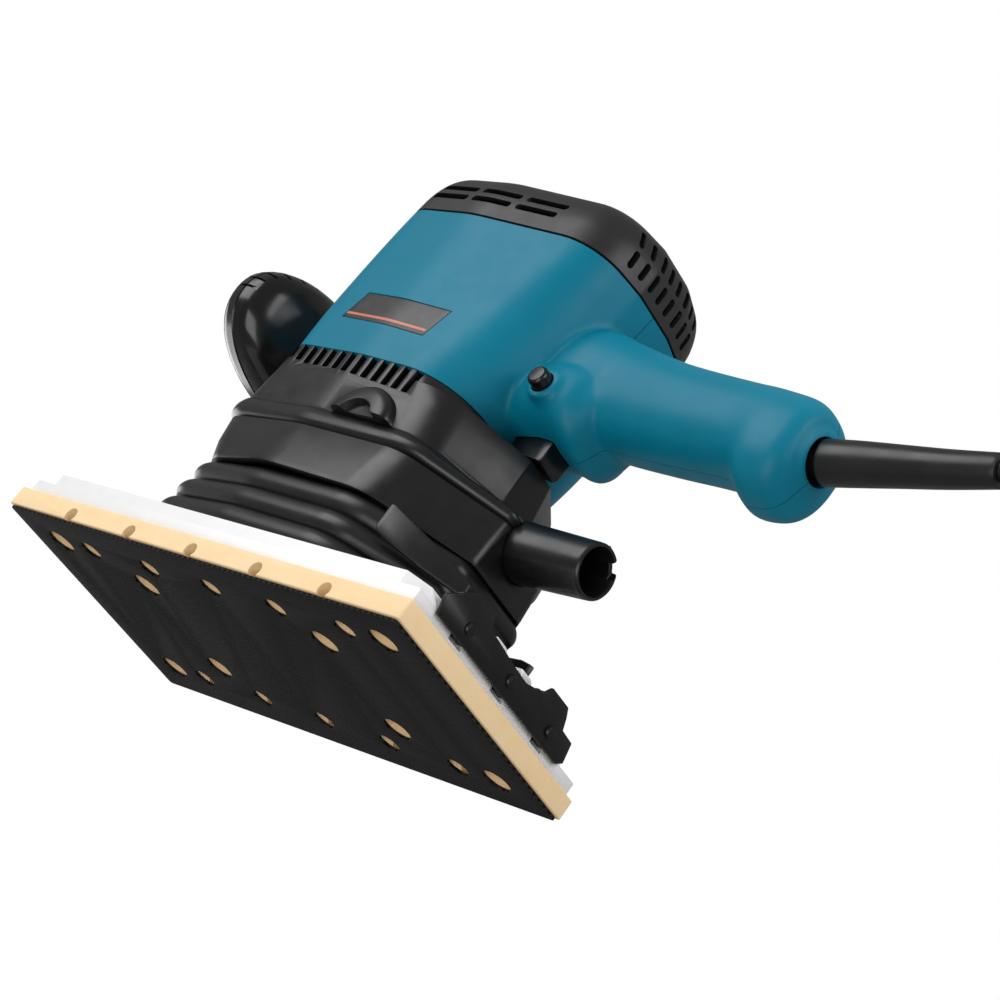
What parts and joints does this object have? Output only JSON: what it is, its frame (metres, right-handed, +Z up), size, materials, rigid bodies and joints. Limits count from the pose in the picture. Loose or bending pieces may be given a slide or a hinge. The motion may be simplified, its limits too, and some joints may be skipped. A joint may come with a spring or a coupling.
{
  "type": "orbital sander",
  "caption": "Half-sheet orbital sander with a rear pistol handle, front palm grip, dust nozzle, paper clamps, rubber bellows and a coiled mains cord.",
  "frame": {"origin": "centre of the pad's sole", "axes": "+X towards the handle and cord, +Z up, the side with the name plate faces -Y"},
  "size_m": [0.6299, 0.1264, 0.213],
  "materials": {
    "teal_plastic": "fine satin moulded plastic",
    "black_plastic": "satin moulded plastic",
    "cover_plastic": "matt moulded plastic",
    "rubber": "smooth moulded rubber",
    "foam": "closed-cell foam",
    "hook_sheet": "ribbed hook sheet",
    "cast_aluminium": "die-cast, light satin",
    "steel": "machined",
    "black_steel": "blackened pressed steel",
    "label": "printed label plate",
    "laminations": "stacked steel laminations",
    "copper": "enamelled copper",
    "brass": "bright",
    "carbon": "pressed carbon",
    "nylon": "moulded nylon"
  },
  "bodies": {
    "housing": {"motor_housing_left": "teal_plastic", "motor_housing_right": "teal_plastic", "lower_housing": "black_plastic", "skirt_arm_left": "black_plastic", "skirt_arm_right": "black_plastic", "top_cover": "cover_plastic", "dust_nozzle": "black_plastic", "bellows_skirt": "rubber", "front_grip": "black_plastic", "grip_bolt": "steel", "name_plate": "label", "stator_core": "laminations", "field_coil_left": "copper", "field_coil_right": "copper", "brush_holder_left": "brass", "brush_holder_right": "brass", "carbon_brush_left": "carbon", "carbon_brush_right": "carbon", "bearing_upper": "steel", "bearing_lower": "steel", "switch_body": "black_plastic", "cord_guard": "rubber", "power_cord": "rubber", "cord_coil": "rubber", "cord_tail": "rubber", "coil_tie": "rubber", "plug_body": "rubber", "plug_pin_1": "brass", "plug_pin_2": "brass", "housing_screw_1": "steel", "housing_screw_2": "steel", "housing_screw_3": "steel", "housing_screw_4": "steel", "housing_screw_5": "steel"},
    "rotor": {"armature_shaft": "steel", "counterweight": "laminations", "fan": "nylon", "armature_core": "laminations", "commutator": "copper"},
    "pad": {"pad_base": "cast_aluminium", "foam_pad": "foam", "hook_sheet": "hook_sheet", "eccentric_bearing": "steel", "clamp_pin_front": "steel", "clamp_pin_rear": "steel"},
    "clamp_front": {"paper_clamp_front": "black_steel"},
    "clamp_rear": {"paper_clamp_rear": "black_steel"},
    "trigger": {"trigger": "black_plastic"},
    "lock_button": {"lock_button": "black_plastic"}
  },
  "joints": [
    {"name": "crank_spin", "type": "hinge", "parent": "housing", "child": "rotor", "pos_m": [-0.0013, 0, 0.08], "axis": [0, 0, 1], "continuous": true},
    {"name": "pad_orbit", "type": "hinge", "parent": "rotor", "child": "pad", "pos_m": [0, 0, 0.03], "axis": [0, 0, 1], "continuous": true},
    {"name": "clamp_front_lift", "type": "hinge", "parent": "pad", "child": "clamp_front", "pos_m": [-0.107, 0, 0.0253], "axis": [0, 1, 0], "range_deg": [0, 40], "stiffness_Nm_per_rad": 0.2, "springref_deg": -28.65},
    {"name": "clamp_rear_lift", "type": "hinge", "parent": "pad", "child": "clamp_rear", "pos_m": [0.107, 0, 0.0253], "axis": [0, -1, 0], "range_deg": [0, 40], "stiffness_Nm_per_rad": 0.2, "springref_deg": -28.65},
    {"name": "trigger_pull", "type": "slide", "parent": "housing", "child": "trigger", "axis": [0, 0, 1], "range_m": [0, 0.004], "stiffness_N_per_m": 600, "springref_m": -0.003},
    {"name": "lock_press", "type": "slide", "parent": "housing", "child": "lock_button", "axis": [0, 1, 0], "range_m": [0, 0.003], "stiffness_N_per_m": 300, "springref_m": -0.003}
  ],
  "couplings": [
    {"joint": "pad_orbit", "follows": "crank_spin", "ratio": -1}
  ]
}
